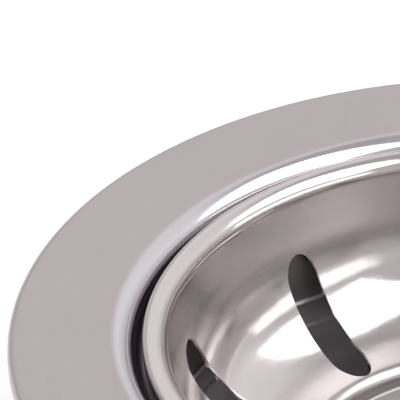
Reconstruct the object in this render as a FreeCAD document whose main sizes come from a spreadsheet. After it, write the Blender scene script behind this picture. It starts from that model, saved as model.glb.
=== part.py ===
import FreeCAD, Part
import math
import os
import re

import Sketcher

# Kitchen sink basket strainer. Millimetres, Z up along the drain's axis.
# Z = 0 is the plane of the sink's deck, under the flange.

os.makedirs("parts", exist_ok=True)
doc = FreeCAD.newDocument("strainer")
dims = doc.addObject("Spreadsheet::Sheet", "dims")

DRIVING = {
    # drawn body
    "flange_width": 11.45,
    "flange_top": 2.2,
    "flange_fall": 0.5,
    "body_sheet": 0.9,
    "edge_round": 1.3,
    "lip_round": 2.4,
    "ledge_round": 0.8,
    "floor_round": 5.0,
    "throat_radius": 17.6,
    "throat_round": 1.5,
    # basket bowl
    "bowl_inner": 38.4,
    "bowl_sheet": 0.7,
    "rim_round": 1.6,
    "rim_bulge": 0.4,
    "rim_height": -0.5,
    "rim_gap": 0.8,
    "rim_lift": 0.25,
    "wall_gap": 0.5,
    "bowl_turn": 13.3,
    "bowl_turn_top": -7.15,
    "shelf_width": 0.7,
    "well_round": 2.0,
    "well_foot": 0.6,
    "slot_count": 10,
    "slot_width": 4.7,
    "slot_length": 18.3,
    "slot_taper": 3.2,
    "slot_tip": 1.9,
    "slot_middle": 11.66,
    "slot_tilt": 45,
    "slot_phase": 21.5,
    # lifting stem
    "post_radius": 3.0,
    "collar_step": 1.5,
    "post_grip": 10.0,
    "post_tail": 2.5,
    "spin_gap": 0.3,
    "slip_fit": 0.05,
    "washer_sheet": 0.8,
    "washer_width": 3.5,
    "knob_inset": 1.0,
    "knob_wall": 1.2,
    "knob_brim": 0.8,
    "knob_foot": 1.0,
    "knob_flare": 3.0,
    "knob_stem": 8.0,
    "knob_under": 1.0,
    "knob_side": 1.5,
    "knob_round": 2.5,
    "cup_inset": 4.4,
    "cup_sheet": 0.8,
    "seat_width": 4.3,
    "stopper_thick": 3.1,
    "stopper_round": 1.0,
    "plate_inset": 5.6,
    "plate_sheet": 0.8,
    "lock_width": 2.35,
    "lock_thick": 1.6,
    "lock_slit": 0.8,
    "post_nut_wall": 2.0,
    "post_nut_thick": 5.0,
    "pin_radius": 1.0,
    "pin_reach": 3.0,
    "pin_gap": 0.4,
    # guide in the throat
    "guide_drop": 1.9,
    "guide_thick": 1.6,
    "guide_ring": 1.9,
    "guide_arm": 4.0,
    "guide_arms": 4,
    "guide_seat": 2.0,
    "hub_wall": 2.5,
    "static_fit": 0.1,
    # outlet and its union
    "spud_wall": 4.5,
    "spud_brim": 2.7,
    "spud_flange_thick": 2.5,
    "spud_bevel": 0.8,
    "tail_room": 1.5,
    "tailpiece_radius": 19.05,
    "tailpiece_slack": 0.25,
    "socket_depth": 14.0,
    "thread_gap": 0.3,
    "slip_thick": 3.0,
    "slip_slack": 0.2,
    "union_lip": 2.0,
    "union_height": 16.0,
    "union_wall": 3.2,
    "union_lugs": 6,
    "union_lug_wide": 12.0,
    "union_lug_tall": 3.2,
    # clamp under the sink
    "deck_gap": 5.0,
    "seal_gap": 0.2,
    "gasket_slack": 0.5,
    "gasket_width": 10.0,
    "gasket_thick": 3.0,
    "gasket_round": 0.6,
    "friction_width": 9.0,
    "friction_thick": 0.8,
    "locknut_height": 8.0,
    "locknut_wall": 4.5,
    "locknut_brim": 5.7,
    "locknut_flange_thick": 2.5,
    "locknut_lugs": 6,
    "locknut_lug_wide": 11.0,
    "locknut_lug_tall": 4.7,
}

DERIVED = {
    "flange_under": "flange_top - body_sheet",
    "lip_top": "flange_top - flange_fall",
    "lip_under": "lip_top - body_sheet",
    "seal_drop": "flange_fall * seal_gap / flange_width",
    "flange_radius": "recess_inner + lip_round + flange_width + edge_round",
    "rim_centre": "bowl_inner + rim_round - rim_bulge",
    "rim_radius": "rim_centre + rim_round",
    "rim_in": "rim_height - sqrt(rim_round^2 - (rim_centre - bowl_inner)^2)",
    "rim_out": "rim_height - sqrt(rim_round^2 - (rim_centre - bowl_outer)^2)",
    "bowl_outer": "bowl_inner + bowl_sheet",
    "recess_inner": "rim_radius + rim_gap",
    "recess_outer": "recess_inner + body_sheet",
    "ledge_top": "rim_height - rim_round - rim_lift",
    "ledge_under": "ledge_top - body_sheet",
    "barrel_inner": "bowl_outer + wall_gap",
    "barrel_outer": "barrel_inner + body_sheet",
    "bowl_shelf": "bowl_turn_top - bowl_turn",
    "well_radius": "bowl_inner - bowl_turn - shelf_width",
    "bowl_floor": "bowl_shelf - well_round - well_foot",
    "bowl_under": "bowl_floor - bowl_sheet",
    "collar_radius": "post_radius + collar_step",
    "bowl_hole": "collar_radius + spin_gap",
    "slot_half": "slot_width / 2",
    "slot_side": "slot_length / 2 - slot_taper",
    "slot_bow": "(slot_taper^2 + slot_half^2 - 2 * slot_taper * slot_tip) / (2 * (slot_half - slot_tip))",
    "slot_swing": "slot_bow / (slot_bow - slot_tip)",
    "slot_knee": "slot_side + (slot_taper - slot_tip) * slot_swing",
    "slot_knee_half": "(slot_bow - slot_half) * (slot_swing - 1)",
    "collar_top": "bowl_floor + washer_sheet",
    "collar_low": "bowl_under - washer_sheet",
    "cup_low": "collar_low - cup_sheet",
    "floor_top": "cup_low - stopper_thick",
    "floor_under": "floor_top - body_sheet",
    "plate_low": "floor_top - plate_sheet",
    "lock_low": "plate_low - lock_thick",
    "post_nut_low": "lock_low - post_nut_thick",
    "guide_top": "post_nut_low - guide_drop",
    "guide_low": "guide_top - guide_thick",
    "pin_height": "guide_low - pin_gap - pin_radius",
    "post_low": "pin_height - post_tail",
    "post_top": "collar_top + post_grip",
    "post_hole": "post_radius + slip_fit",
    "collar_hole": "collar_radius + slip_fit",
    "washer_radius": "collar_radius + washer_width",
    "knob_base": "washer_radius - knob_inset",
    "knob_neck": "post_radius + knob_wall",
    "knob_sweep": "knob_base - knob_neck",
    "knob_head": "knob_neck + knob_flare + knob_brim + knob_under",
    "stopper_radius": "throat_radius + throat_round + seat_width",
    "cup_radius": "stopper_radius - cup_inset",
    "plate_radius": "throat_radius - plate_inset",
    "lock_radius": "post_hole + lock_width",
    "post_nut_flat": "2 * (post_radius + post_nut_wall)",
    "pin_length": "2 * (post_radius + pin_reach)",
    "guide_hub": "pin_length / 2 + hub_wall",
    "throat_outer": "throat_radius + body_sheet",
    "spud_bore": "throat_outer + static_fit",
    "guide_radius": "spud_bore - static_fit",
    "spud_step": "spud_bore - guide_seat",
    "socket_radius": "tailpiece_radius + tailpiece_slack",
    "spud_radius": "socket_radius + spud_wall",
    "spud_flange": "spud_radius + spud_brim",
    "socket_top": "post_low - tail_room",
    "spud_low": "socket_top - socket_depth",
    "slip_low": "spud_low - slip_thick",
    "slip_hole": "socket_radius + slip_slack",
    "slip_radius": "spud_radius - slip_slack",
    "union_low": "slip_low - union_lip",
    "union_top": "union_low + union_height",
    "union_bore": "spud_radius + thread_gap",
    "union_hole": "slip_hole + thread_gap",
    "union_radius": "union_bore + union_wall",
    "gasket_hole": "recess_outer + gasket_slack",
    "gasket_radius": "gasket_hole + gasket_width",
    "friction_radius": "gasket_hole + friction_width",
    "gasket_low": "0 - deck_gap - gasket_thick",
    "friction_low": "gasket_low - friction_thick",
    "locknut_low": "friction_low - locknut_height",
    "locknut_bore": "barrel_outer + thread_gap",
    "locknut_hub": "locknut_bore + locknut_wall",
    "locknut_flange": "locknut_hub + locknut_brim",
    "locknut_lug_radius": "locknut_hub + locknut_lug_tall",
    "nut_corner": "post_nut_flat / sqrt(3)",
    "nut_bevel": "nut_corner - post_nut_flat / 2",
}


def fill_sheet():
    """One row for each driving value, then one for each value that follows from them."""
    rows = {name: str(value) for name, value in DRIVING.items()}
    rows.update({name: "=" + text for name, text in DERIVED.items()})
    for row, name in enumerate(rows, start=1):
        dims.set(f"A{row}", name)
        dims.setAlias(f"B{row}", name)
    for row, text in enumerate(rows.values(), start=1):
        dims.set(f"B{row}", text)
    doc.recompute()


def cell(text):
    """The same formula with every name pointed at its cell of the sheet."""
    return re.sub(r"[a-z_]{4,}", lambda word: "dims." + word.group(), text)


def number(text):
    return float(dims.evalExpression(re.sub(r"dims\.", "", text)))


def new_body(label):
    body = doc.addObject("PartDesign::Body", label)
    body.Label = label
    return body


def sketch_on(body, plane, name):
    sketch = body.newObject("Sketcher::SketchObject", name)
    features = {feature.Role: feature for feature in body.Origin.OriginFeatures}
    sketch.AttachmentSupport = [(features[plane], "")]
    sketch.MapMode = "FlatFace"
    return sketch


def fix_point(sketch, geometry, end, x, y):
    """Hold one point of a sketch at two formulas, measured from the sketch's origin."""
    for axis, text in (("DistanceX", x), ("DistanceY", y)):
        rule = Sketcher.Constraint(axis, -1, 1, geometry, end, number(text))
        index = sketch.addConstraint(rule)
        sketch.setExpression(f"Constraints[{index}]", cell(text))


def fix_radius(sketch, geometry, text):
    index = sketch.addConstraint(Sketcher.Constraint("Radius", geometry, number(text)))
    sketch.setExpression(f"Constraints[{index}]", cell(text))


def arc_between(start, end, radius, turn):
    """Arc from start to end; turn is ccw or cw, and a capital letter takes the longer way."""
    chord = end - start
    rise = math.sqrt(max(radius * radius - chord.Length ** 2 / 4, 0))
    left = FreeCAD.Vector(-chord.y, chord.x, 0).normalize()
    side = 1 if turn.lower() == "ccw" else -1
    if turn.isupper():
        side = -side
    centre = (start + end) / 2 + left * (rise * side)
    first, last = (start, end) if turn.lower() == "ccw" else (end, start)
    angles = [math.atan2(p.y - centre.y, p.x - centre.x) for p in (first, last)]
    circle = Part.Circle(centre, FreeCAD.Vector(0, 0, 1), radius)
    return Part.ArcOfCircle(circle, angles[0], angles[1])


def outline(sketch, corners):
    """Closed chain of lines and arcs. A corner is (x, y), or (x, y, radius, turn) if an arc leads on."""
    spots = [FreeCAD.Vector(number(c[0]), number(c[1]), 0) for c in corners]
    ends = []
    for index, corner in enumerate(corners):
        start, end = spots[index], spots[(index + 1) % len(spots)]
        if len(corner) == 2:
            edge = sketch.addGeometry(Part.LineSegment(start, end))
            ends.append((edge, 1, 2))
        else:
            arc = arc_between(start, end, number(corner[2]), corner[3])
            edge = sketch.addGeometry(arc)
            ends.append((edge, 1, 2) if corner[3].lower() == "ccw" else (edge, 2, 1))
    for index, (edge, first, _) in enumerate(ends):
        before, _, last = ends[index - 1]
        sketch.addConstraint(Sketcher.Constraint("Coincident", before, last, edge, first))
    for (edge, first, _), corner in zip(ends, corners):
        fix_point(sketch, edge, first, corner[0], corner[1])
        if len(corner) == 4:
            fix_radius(sketch, edge, corner[2])


def circle(sketch, x, y, radius):
    centre = FreeCAD.Vector(number(x), number(y), 0)
    edge = sketch.addGeometry(Part.Circle(centre, FreeCAD.Vector(0, 0, 1), number(radius)))
    fix_point(sketch, edge, 3, x, y)
    fix_radius(sketch, edge, radius)


def rectangle(sketch, left, low, right, high):
    outline(sketch, [(left, low), (right, low), (right, high), (left, high)])


def turned(body, name, corners, kind="PartDesign::Revolution"):
    """Profile drawn at the axis, radius across and height up, turned a full circle."""
    sketch = sketch_on(body, "XZ_Plane", name + "_profile")
    outline(sketch, corners)
    feature = body.newObject(kind, name)
    feature.Profile = sketch
    feature.ReferenceAxis = (sketch, ["V_Axis"])
    feature.Angle = 360
    return feature


def flat_sketch(body, name, height):
    sketch = sketch_on(body, "XY_Plane", name)
    sketch.setExpression("AttachmentOffset.Base.z", cell(height))
    return sketch


def extrude(body, name, sketch, length, kind="PartDesign::Pad", down=False):
    feature = body.newObject(kind, name)
    feature.Profile = sketch
    feature.setExpression("Length", cell(length))
    feature.Reversed = down
    return feature


def around(body, name, feature, count):
    """Repeat a feature evenly about the drain's axis."""
    doc.recompute()
    pattern = body.newObject("PartDesign::PolarPattern", name)
    pattern.Originals = [feature]
    axes = {part.Role: part for part in body.Origin.OriginFeatures}
    pattern.Axis = (axes["Z_Axis"], [""])
    pattern.Angle = 360
    pattern.setExpression("Occurrences", cell(count))
    body.Tip = pattern
    return pattern


def flat_ring(label, inner, outer, low, high):
    """Plain ring of rectangular section."""
    body = new_body(label)
    turned(body, label + "_ring", [(inner, low), (outer, low), (outer, high), (inner, high)])
    return body


def strainer_body():
    """Drawn steel body: flange, rolled lip, ledge for the rim, barrel, floor and throat."""
    body = new_body("strainer_body")
    lip, edge = "recess_inner + lip_round", "flange_radius - edge_round"
    step, bend = "recess_inner - ledge_round", "barrel_inner + ledge_round"
    wall_low = "floor_top + floor_round"
    floor_edge = "barrel_inner - floor_round"
    mouth, mouth_low = "throat_radius + throat_round", "floor_top - throat_round"
    turned(body, "body_shell", [
        (lip, "lip_top", "lip_round", "ccw"),
        ("recess_inner", "lip_top - lip_round"),
        ("recess_inner", "ledge_top + ledge_round", "ledge_round", "cw"),
        (step, "ledge_top"),
        (bend, "ledge_top", "ledge_round", "ccw"),
        ("barrel_inner", "ledge_top - ledge_round"),
        ("barrel_inner", wall_low, "floor_round", "cw"),
        (floor_edge, "floor_top"),
        (mouth, "floor_top", "throat_round", "ccw"),
        ("throat_radius", mouth_low),
        ("throat_radius", "guide_top"),
        ("throat_outer", "guide_top"),
        ("throat_outer", mouth_low, "throat_round - body_sheet", "cw"),
        (mouth, "floor_under"),
        (floor_edge, "floor_under", "floor_round + body_sheet", "ccw"),
        ("barrel_outer", wall_low),
        ("barrel_outer", "ledge_under"),
        (step, "ledge_under", "ledge_round + body_sheet", "ccw"),
        ("recess_outer", "ledge_top + ledge_round"),
        ("recess_outer", "lip_top - lip_round", "lip_round - body_sheet", "cw"),
        (lip, "lip_under"),
        (edge, "flange_under", "edge_round - body_sheet", "cw"),
        ("flange_radius - body_sheet", "flange_top - edge_round"),
        ("flange_radius - body_sheet", "0"),
        ("flange_radius", "0"),
        ("flange_radius", "flange_top - edge_round", "edge_round", "ccw"),
        (edge, "flange_top"),
    ])
    return body


def flange_seal():
    """Foam ring, cut to the slope of the flange above it."""
    body = new_body("flange_seal")
    inner, outer = "recess_inner + lip_round + seal_gap", "flange_radius - edge_round - seal_gap"
    turned(body, "flange_seal_ring", [
        (inner, "0"),
        (outer, "0"),
        (outer, "flange_under - seal_drop"),
        (inner, "lip_under + seal_drop"),
    ])
    return body


def basket_bowl():
    """Pressed bowl with a rolled rim, a stepped well and a ring of long slots."""
    body = new_body("basket_bowl")
    turn = "bowl_inner - bowl_turn"
    foot, foot_low = "well_radius - well_round - well_foot", "bowl_shelf - well_round"
    turned(body, "bowl_shell", [
        ("bowl_inner", "rim_in"),
        ("bowl_inner", "bowl_turn_top", "bowl_turn", "cw"),
        (turn, "bowl_shelf"),
        ("well_radius", "bowl_shelf", "well_round", "ccw"),
        ("well_radius - well_round", foot_low, "well_foot", "cw"),
        (foot, "bowl_floor"),
        ("bowl_hole", "bowl_floor"),
        ("bowl_hole", "bowl_under"),
        (foot, "bowl_under", "well_foot + bowl_sheet", "ccw"),
        (foot + " + well_foot + bowl_sheet", foot_low, "well_round - bowl_sheet", "cw"),
        ("well_radius", "bowl_shelf - bowl_sheet"),
        (turn, "bowl_shelf - bowl_sheet", "bowl_turn + bowl_sheet", "ccw"),
        ("bowl_outer", "bowl_turn_top"),
        ("bowl_outer", "rim_out", "rim_round", "CCW"),
    ])
    # the punch comes from inside, square to the middle of the curved wall
    slot = sketch_on(body, "XY_Plane", "slot_outline")
    slot.AttachmentOffset = FreeCAD.Placement(
        FreeCAD.Vector(), FreeCAD.Rotation(FreeCAD.Vector(0, -1, 0), number("slot_tilt"))
    )
    slot.setExpression("AttachmentOffset.Rotation.Angle", cell("slot_tilt"))
    low, high = "slot_middle - slot_side", "slot_middle + slot_side"
    low_tip, high_tip = "slot_middle - slot_knee", "slot_middle + slot_knee"
    outline(slot, [
        (low, "0 - slot_half"),
        (high, "0 - slot_half", "slot_bow", "ccw"),
        (high_tip, "0 - slot_knee_half", "slot_tip", "ccw"),
        (high_tip, "slot_knee_half", "slot_bow", "ccw"),
        (high, "slot_half"),
        (low, "slot_half", "slot_bow", "ccw"),
        (low_tip, "slot_knee_half", "slot_tip", "ccw"),
        (low_tip, "0 - slot_knee_half", "slot_bow", "ccw"),
    ])
    punch = body.newObject("PartDesign::Pocket", "slot_punch")
    punch.Profile = slot
    punch.Type = "ThroughAll"
    around(body, "slot_ring", punch, "slot_count")
    body.Placement = FreeCAD.Placement(
        FreeCAD.Vector(), FreeCAD.Rotation(FreeCAD.Vector(0, 0, 1), number("slot_phase"))
    )
    body.setExpression("Placement.Rotation.Angle", cell("slot_phase"))
    return body


def lift_post():
    """Turned post with a collar that the bowl turns on, cross-drilled for the catch pin."""
    body = new_body("lift_post")
    turned(body, "post_turning", [
        ("0", "post_low"),
        ("post_radius", "post_low"),
        ("post_radius", "collar_low"),
        ("collar_radius", "collar_low"),
        ("collar_radius", "collar_top"),
        ("post_radius", "collar_top"),
        ("post_radius", "post_top"),
        ("0", "post_top"),
    ])
    drill = sketch_on(body, "YZ_Plane", "pin_hole")
    circle(drill, "0", "pin_height", "pin_radius + slip_fit")
    hole = body.newObject("PartDesign::Pocket", "pin_drilling")
    hole.Profile = drill
    hole.Type = "ThroughAll"
    hole.Midplane = True
    return body


def lift_knob():
    """Turned knob: wide foot, waisted neck and a flat head to pinch."""
    body = new_body("lift_knob")
    waist = "collar_top + knob_foot + knob_sweep"
    under = "collar_top + knob_stem + knob_flare"
    side = under + " + knob_under"
    turned(body, "knob_turning", [
        ("post_hole", "collar_top"),
        ("knob_base", "collar_top"),
        ("knob_base", "collar_top + knob_foot", "knob_sweep", "cw"),
        ("knob_neck", waist),
        ("knob_neck", "collar_top + knob_stem", "knob_flare", "cw"),
        ("knob_neck + knob_flare", under),
        ("knob_head - knob_under", under, "knob_under", "ccw"),
        ("knob_head", side),
        ("knob_head", side + " + knob_side", "knob_round", "ccw"),
        ("knob_head - knob_round", side + " + knob_side + knob_round"),
        ("0", side + " + knob_side + knob_round"),
        ("0", "post_top + slip_fit"),
        ("post_hole", "post_top + slip_fit"),
    ])
    return body


def stopper_seal():
    """Rubber disc with a rounded edge, moulded with a raised sealing band underneath."""
    body = new_body("stopper_seal")
    turned(body, "stopper_disc", [
        ("post_hole", "floor_top"),
        ("stopper_radius - stopper_round", "floor_top", "stopper_round", "ccw"),
        ("stopper_radius", "floor_top + stopper_round"),
        ("stopper_radius", "cup_low - stopper_round", "stopper_round", "ccw"),
        ("stopper_radius - stopper_round", "cup_low"),
        ("post_hole", "cup_low"),
    ])
    return body


def lock_washer():
    """Split washer: a ring with one narrow slit."""
    body = flat_ring("lock_washer", "post_hole", "lock_radius", "lock_low", "plate_low")
    sketch = flat_sketch(body, "slit_outline", "plate_low")
    rectangle(sketch, "post_radius / 2", "0 - lock_slit / 2", "lock_radius * 1.2", "lock_slit / 2")
    extrude(body, "slit", sketch, "lock_thick", "PartDesign::Pocket")
    return body


def post_nut():
    """Hexagon nut with both ends turned back at the corners."""
    body = new_body("post_nut")
    hexagon = flat_sketch(body, "nut_outline", "post_nut_low")
    half, side = "nut_corner / 2", "post_nut_flat / 2"
    outline(hexagon, [
        ("nut_corner", "0"),
        (half, side),
        ("0 - " + half, side),
        ("0 - nut_corner", "0"),
        ("0 - " + half, "0 - " + side),
        (half, "0 - " + side),
    ])
    extrude(body, "nut_blank", hexagon, "post_nut_thick")
    doc.recompute()
    bore = flat_sketch(body, "nut_bore", "lock_low")
    circle(bore, "0", "0", "post_hole")
    hole = body.newObject("PartDesign::Pocket", "nut_hole")
    hole.Profile = bore
    hole.Type = "ThroughAll"
    doc.recompute()
    drop = "nut_bevel / 2"
    turned(body, "nut_crown", [
        ("post_nut_flat / 2", "lock_low"),
        ("nut_corner * 1.1", "lock_low"),
        ("nut_corner * 1.1", "lock_low - " + drop),
        ("nut_corner", "lock_low - " + drop),
    ], "PartDesign::Groove")
    doc.recompute()
    turned(body, "nut_foot", [
        ("post_nut_flat / 2", "post_nut_low"),
        ("nut_corner", "post_nut_low + " + drop),
        ("nut_corner * 1.1", "post_nut_low + " + drop),
        ("nut_corner * 1.1", "post_nut_low"),
    ], "PartDesign::Groove")
    return body


def catch_pin():
    """Cross pin through the post's tail."""
    pin = doc.addObject("Part::Cylinder", "catch_pin")
    pin.setExpression("Radius", cell("pin_radius"))
    pin.setExpression("Height", cell("pin_length"))
    pin.Placement = FreeCAD.Placement(
        FreeCAD.Vector(), FreeCAD.Rotation(FreeCAD.Vector(0, 1, 0), 90)
    )
    pin.setExpression("Placement.Base.x", cell("0 - pin_length / 2"))
    pin.setExpression("Placement.Base.z", cell("pin_height"))
    return pin


def cross_guide():
    """Punched spider in the throat; its hub has a keyhole that lets the pin through one way round."""
    body = flat_ring(
        "cross_guide", "guide_radius - guide_ring", "guide_radius", "guide_low", "guide_top"
    )
    doc.recompute()
    arm = flat_sketch(body, "arm_outline", "guide_low")
    rectangle(
        arm, "guide_hub / 2", "0 - guide_arm / 2", "guide_radius - guide_ring / 2", "guide_arm / 2"
    )
    spoke = extrude(body, "arm", arm, "guide_thick")
    around(body, "arms", spoke, "guide_arms")
    doc.recompute()
    hub = flat_sketch(body, "hub_outline", "guide_low")
    circle(hub, "0", "0", "guide_hub")
    extrude(body, "hub", hub, "guide_thick")
    doc.recompute()
    eye = flat_sketch(body, "hub_eye", "guide_top")
    circle(eye, "0", "0", "post_radius + spin_gap")
    extrude(body, "eye", eye, "guide_thick", "PartDesign::Pocket")
    doc.recompute()
    key = flat_sketch(body, "keyway_outline", "guide_top")
    reach, half = "pin_length / 2 + spin_gap", "pin_radius + spin_gap"
    rectangle(key, "0 - " + reach.replace("+", "-"), "0 - " + half.replace("+", "-"), reach, half)
    extrude(body, "keyway", key, "guide_thick", "PartDesign::Pocket")
    return body


def outlet_spud():
    """Turned outlet: brazed flange, seat for the guide, step for the tailpiece and its socket."""
    body = new_body("outlet_spud")
    flange_low = "floor_under - spud_flange_thick"
    turned(body, "spud_turning", [
        ("spud_bore + throat_round", "floor_under"),
        ("spud_flange", "floor_under"),
        ("spud_flange", flange_low),
        ("spud_radius", flange_low),
        ("spud_radius", "spud_low + spud_bevel"),
        ("spud_radius - spud_bevel", "spud_low"),
        ("socket_radius", "spud_low"),
        ("socket_radius", "socket_top"),
        ("spud_step", "socket_top"),
        ("spud_step", "guide_low"),
        ("spud_bore", "guide_low"),
        ("spud_bore", "floor_under - throat_round"),
    ])
    return body


def coupling_nut():
    """Union nut: threaded sleeve with an inner lip, and lugs around it for a wrench."""
    body = new_body("coupling_nut")
    turned(body, "union_sleeve", [
        ("union_hole", "union_low"),
        ("union_radius", "union_low"),
        ("union_radius", "union_top - spud_bevel"),
        ("union_radius - spud_bevel", "union_top"),
        ("union_bore", "union_top"),
        ("union_bore", "slip_low"),
        ("union_hole", "slip_low"),
    ])
    doc.recompute()
    lug = flat_sketch(body, "union_lug_outline", "union_low + union_lip / 2")
    wide, slim = "union_lug_wide / 2", "union_lug_wide / 4"
    root, tip = "union_radius - union_wall / 2", "union_radius + union_lug_tall"
    outline(lug, [
        (root, "0 - " + wide), (tip, "0 - " + slim), (tip, slim), (root, wide),
    ])
    grip = extrude(body, "union_lug", lug, "union_height - union_lip * 2")
    around(body, "union_lug_ring", grip, "union_lugs")
    return body


def sink_gasket():
    """Rubber ring, rounded at its outer edges."""
    body = new_body("sink_gasket")
    rim = "gasket_radius - gasket_round"
    turned(body, "gasket_ring", [
        ("gasket_hole", "gasket_low"),
        (rim, "gasket_low", "gasket_round", "ccw"),
        ("gasket_radius", "gasket_low + gasket_round"),
        ("gasket_radius", "0 - deck_gap - gasket_round", "gasket_round", "ccw"),
        (rim, "0 - deck_gap"),
        ("gasket_hole", "0 - deck_gap"),
    ])
    return body


def locknut():
    """Cast ring nut: pressing flange on top, threaded hub, and lugs that a wrench catches."""
    body = new_body("locknut")
    flange_low = "friction_low - locknut_flange_thick"
    turned(body, "locknut_ring", [
        ("locknut_bore", "locknut_low"),
        ("locknut_hub", "locknut_low"),
        ("locknut_hub", flange_low),
        ("locknut_flange", flange_low),
        ("locknut_flange", "friction_low"),
        ("locknut_bore", "friction_low"),
    ])
    doc.recompute()
    lug = flat_sketch(body, "lug_outline", "locknut_low")
    wide, slim = "locknut_lug_wide / 2", "locknut_lug_wide / 3"
    root = "locknut_hub - locknut_wall / 2"
    outline(lug, [
        (root, "0 - " + wide),
        ("locknut_lug_radius", "0 - " + slim),
        ("locknut_lug_radius", slim),
        (root, wide),
    ])
    grip = extrude(body, "lug", lug, "locknut_height - locknut_flange_thick / 2")
    around(body, "lug_ring", grip, "locknut_lugs")
    return body


def assembly():
    """Every piece, in the order that they go together."""
    return [
        strainer_body(),
        flange_seal(),
        outlet_spud(),
        cross_guide(),
        sink_gasket(),
        flat_ring("friction_washer", "gasket_hole", "friction_radius", "friction_low", "gasket_low"),
        locknut(),
        flat_ring("slip_washer", "slip_hole", "slip_radius", "slip_low", "spud_low"),
        coupling_nut(),
        basket_bowl(),
        lift_post(),
        flat_ring("upper_washer", "collar_hole", "washer_radius", "bowl_floor", "collar_top"),
        lift_knob(),
        flat_ring("lower_washer", "collar_hole", "washer_radius", "collar_low", "bowl_under"),
        flat_ring("stopper_cup", "post_hole", "cup_radius", "cup_low", "collar_low"),
        stopper_seal(),
        flat_ring("stopper_plate", "post_hole", "plate_radius", "plate_low", "floor_top"),
        lock_washer(),
        post_nut(),
        catch_pin(),
    ]


fill_sheet()
pieces = assembly()
doc.recompute()

for thing in doc.Objects:
    if "Invalid" in thing.State or "Error" in thing.State:
        raise RuntimeError(f"{thing.Label} is {thing.State}")

for piece in pieces:
    shape = piece.Shape
    if shape.isNull() or not shape.isValid() or not shape.Solids:
        raise RuntimeError(f"{piece.Label} has no valid solid")
    shape.exportStep(f"parts/{piece.Label}.step")
    box = shape.optimalBoundingBox()
    print(
        f"{piece.Label:16s} {len(shape.Solids)} solid {shape.Volume:9.1f} mm3  "
        f"z {box.ZMin:7.2f} to {box.ZMax:6.2f}  across {box.XLength:6.2f}"
    )
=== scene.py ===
import math
import bpy
import bmesh
from mathutils import Matrix, Vector
from mathutils.bvhtree import BVHTree


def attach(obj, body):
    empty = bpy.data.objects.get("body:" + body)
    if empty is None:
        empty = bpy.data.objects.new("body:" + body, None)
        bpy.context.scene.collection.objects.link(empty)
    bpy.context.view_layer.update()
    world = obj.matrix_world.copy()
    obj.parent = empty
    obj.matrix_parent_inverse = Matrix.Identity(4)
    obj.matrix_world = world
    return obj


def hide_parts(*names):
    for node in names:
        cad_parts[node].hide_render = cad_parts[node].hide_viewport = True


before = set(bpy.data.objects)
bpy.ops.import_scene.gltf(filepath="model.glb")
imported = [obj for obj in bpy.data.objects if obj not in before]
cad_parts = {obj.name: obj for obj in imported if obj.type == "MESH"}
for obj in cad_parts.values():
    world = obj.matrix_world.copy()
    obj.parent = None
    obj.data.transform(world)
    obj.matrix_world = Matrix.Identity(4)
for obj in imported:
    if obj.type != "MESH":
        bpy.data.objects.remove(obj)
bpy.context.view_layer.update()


# The drain body is one drawn cup of stainless sheet: flange, rounded lip, ledge for the basket's
# rim, barrel, floor and throat. The flange is brushed to a satin face and the lip is polished,
# the ledge and the inside stay dull, and the barrel's thread is rolled into the sheet. Shade is
# painted dark into the groove and the upper inside of the barrel, light is painted into the lower
# inside, and a highlight is painted on the crests of the inner beads.
MM = 0.001
UP = Vector((0, 0, 1))
SAME_POINT = 1e-7
WELD = 1e-6
NOISE_SPAN = (0.3, 0.7)


def begin(name):
    """A new mesh with a single point at the origin, left in edit mode."""
    bpy.ops.object.select_all(action="DESELECT")
    bpy.ops.mesh.primitive_plane_add(size=MM)
    piece = bpy.context.object
    piece.name = piece.data.name = name
    bpy.ops.object.mode_set(mode="EDIT")
    bpy.ops.mesh.select_mode(type="VERT")
    bpy.ops.mesh.merge(type="CENTER")
    return piece


def pick(piece, wanted):
    """Selects the points of a mesh in edit mode for which wanted(place) holds."""
    mesh = bmesh.from_edit_mesh(piece.data)
    for face in mesh.faces:
        face.select = False
    for edge in mesh.edges:
        edge.select = False
    for point in mesh.verts:
        point.select = wanted(point.co)
    mesh.select_flush_mode()
    bmesh.update_edit_mesh(piece.data)


def draw(name, corners, across=Vector((1, 0, 0)), along=UP, closed=True):
    """Draws a wire through corners (across, along, round, cuts) in millimetres, and rounds it.

    A corner without a round stays sharp, and cuts not given follow from the round's size.
    """
    piece = begin(name)
    points = [(across * c[0] + along * c[1]) * MM for c in corners]
    bpy.ops.transform.translate(value=points[0])
    for last, point in zip(points, points[1:]):
        bpy.ops.mesh.extrude_region_move(TRANSFORM_OT_translate={"value": point - last})
    if closed:
        pick(piece, lambda co: min((co - points[0]).length, (co - points[-1]).length) < SAME_POINT)
        bpy.ops.mesh.edge_face_add()
    for index, corner in enumerate(corners):
        if len(corner) < 3:
            continue
        here = points[index]
        before, after = points[index - 1], points[(index + 1) % len(points)]
        bend = (before - here).angle(after - here)
        cuts = corner[3] if len(corner) > 3 else max(4, min(14, round(4 + 2.5 * corner[2])))
        pick(piece, lambda co: (co - here).length < SAME_POINT)
        bpy.ops.mesh.bevel(
            offset=corner[2] * MM / math.tan(bend / 2), segments=cuts,
            affect="VERTICES", clamp_overlap=False,
        )
    bpy.ops.mesh.select_all(action="SELECT")
    bpy.ops.mesh.remove_doubles(threshold=SAME_POINT)
    return piece


def smooth(piece, angle=35):
    """Leaves edit mode with outward faces, smooth shading and flats that stay flat."""
    bpy.ops.mesh.select_all(action="SELECT")
    bpy.ops.mesh.remove_doubles(threshold=WELD)
    bpy.ops.mesh.normals_make_consistent(inside=False)
    bpy.ops.object.mode_set(mode="OBJECT")
    bpy.ops.object.shade_smooth_by_angle(angle=math.radians(angle))
    flats = piece.modifiers.new("flats", "WEIGHTED_NORMAL")
    flats.keep_sharp = True
    bpy.ops.object.modifier_apply(modifier="flats")
    return piece


def turned(name, corners, steps=192, angle=35):
    """Spins a half section, its corners (radius, height, round, cuts), round the drain's axis."""
    closed = corners[0][0] > 0
    piece = draw(name, corners, closed=closed)
    bpy.ops.mesh.select_all(action="SELECT")
    bpy.ops.mesh.spin(steps=steps, angle=math.tau, center=(0, 0, 0), axis=UP)
    return smooth(piece, angle)


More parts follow.
